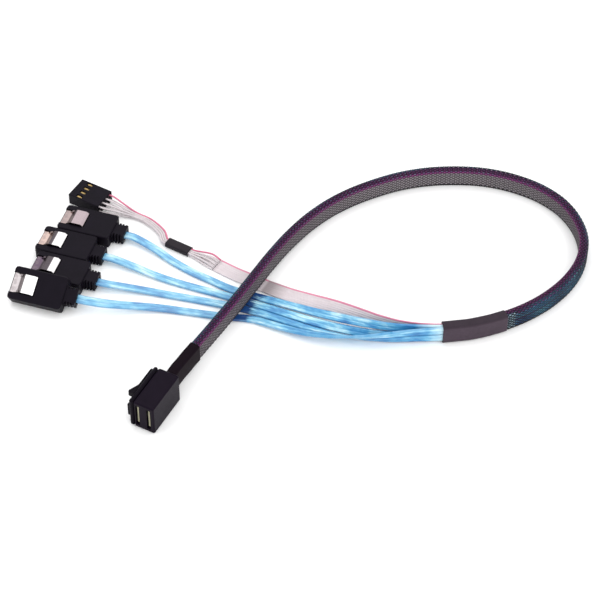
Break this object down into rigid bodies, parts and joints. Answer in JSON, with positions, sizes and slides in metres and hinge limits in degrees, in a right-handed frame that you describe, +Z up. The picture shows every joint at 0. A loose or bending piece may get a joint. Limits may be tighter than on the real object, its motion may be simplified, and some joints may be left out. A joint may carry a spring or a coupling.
{
  "type": "mini sas breakout cable",
  "caption": "Mini SAS HD plug and braided flat loom that loops over itself and fans out to latched SATA plugs and a small sideband plug, laid on a table.",
  "frame": {"origin": "middle of the big plug's lower side, on the table that the cable lies on", "axes": "+Z up from the table; +X to the right and +Y away as the picture shows the cable"},
  "size_m": [0.2245, 0.1333, 0.0135],
  "materials": {
    "hd_shell": "satin black moulding",
    "hd_moulding": "satin black moulding",
    "card_board": "green board with gold fingers",
    "heat_shrink": "dull black heat-shrink",
    "braided_sleeve": "open woven monofilament",
    "contact_block": "black insulator with gold contacts",
    "spring_steel": "bright spring steel",
    "blue_jacket": "clear blue film jacket",
    "gold_contact": "gold plate",
    "wire_insulation": "pale grey insulation",
    "ribbon_insulation": "pale grey ribbon with a pink edge",
    "crimp_housing": "satin black moulding",
    "sata_moulding": "satin black moulding"
  },
  "bodies": {
    "root": {"hd_plug_shell": "hd_shell", "hd_plug_cover": "hd_moulding", "hd_card_left": "card_board", "hd_card_right": "card_board", "hd_boot": "heat_shrink", "trunk_sleeve": "braided_sleeve", "breakout_tube": "heat_shrink", "sata_a_shell": "sata_moulding", "sata_a_contact_block": "contact_block", "sata_a_cable": "blue_jacket", "sata_b_shell": "sata_moulding", "sata_b_contact_block": "contact_block", "sata_b_cable": "blue_jacket", "sata_c_shell": "sata_moulding", "sata_c_contact_block": "contact_block", "sata_c_cable": "blue_jacket", "sata_d_shell": "sata_moulding", "sata_d_contact_block": "contact_block", "sata_d_cable": "blue_jacket", "sideband_housing": "crimp_housing", "sideband_terminal_1": "gold_contact", "sideband_terminal_2": "gold_contact", "sideband_terminal_3": "gold_contact", "sideband_terminal_4": "gold_contact", "sideband_terminal_5": "gold_contact", "sideband_terminal_6": "gold_contact", "sideband_terminal_7": "gold_contact", "sideband_terminal_8": "gold_contact", "sideband_wire_1": "wire_insulation", "sideband_wire_2": "wire_insulation", "sideband_wire_3": "wire_insulation", "sideband_wire_4": "wire_insulation", "sideband_wire_5": "wire_insulation", "sideband_wire_6": "wire_insulation", "sideband_wire_7": "wire_insulation", "sideband_wire_8": "wire_insulation", "sideband_shrink": "heat_shrink", "sideband_ribbon": "ribbon_insulation"},
    "hd_latch": {"hd_plug_latch": "hd_moulding"},
    "sata_a_latch": {"sata_a_latch_leaf": "spring_steel"},
    "sata_b_latch": {"sata_b_latch_leaf": "spring_steel"},
    "sata_c_latch": {"sata_c_latch_leaf": "spring_steel"},
    "sata_d_latch": {"sata_d_latch_leaf": "spring_steel"}
  },
  "joints": [
    {"name": "hd_latch_press", "type": "hinge", "parent": "root", "child": "hd_latch", "pos_m": [-0.00783, -0.00365, 0.0067], "axis": [0, 0, -1], "range_deg": [0, 3], "stiffness_Nm_per_rad": 0.3},
    {"name": "sata_a_latch_press", "type": "hinge", "parent": "root", "child": "sata_a_latch", "pos_m": [-0.03945, 0.09641, 0.00492], "axis": [0.3024, 0.9532, 0], "range_deg": [0, 5], "stiffness_Nm_per_rad": 0.2},
    {"name": "sata_b_latch_press", "type": "hinge", "parent": "root", "child": "sata_b_latch", "pos_m": [-0.04725, 0.08472, 0.00492], "axis": [0.3024, 0.9532, 0], "range_deg": [0, 5], "stiffness_Nm_per_rad": 0.2},
    {"name": "sata_c_latch_press", "type": "hinge", "parent": "root", "child": "sata_c_latch", "pos_m": [-0.04895, 0.0711, 0.00492], "axis": [0.3024, 0.9532, 0], "range_deg": [0, 5], "stiffness_Nm_per_rad": 0.2},
    {"name": "sata_d_latch_press", "type": "hinge", "parent": "root", "child": "sata_d_latch", "pos_m": [-0.05609, 0.05849, 0.00745], "axis": [0.267, 0.8416, 0.4695], "range_deg": [0, 5], "stiffness_Nm_per_rad": 0.2}
  ]
}
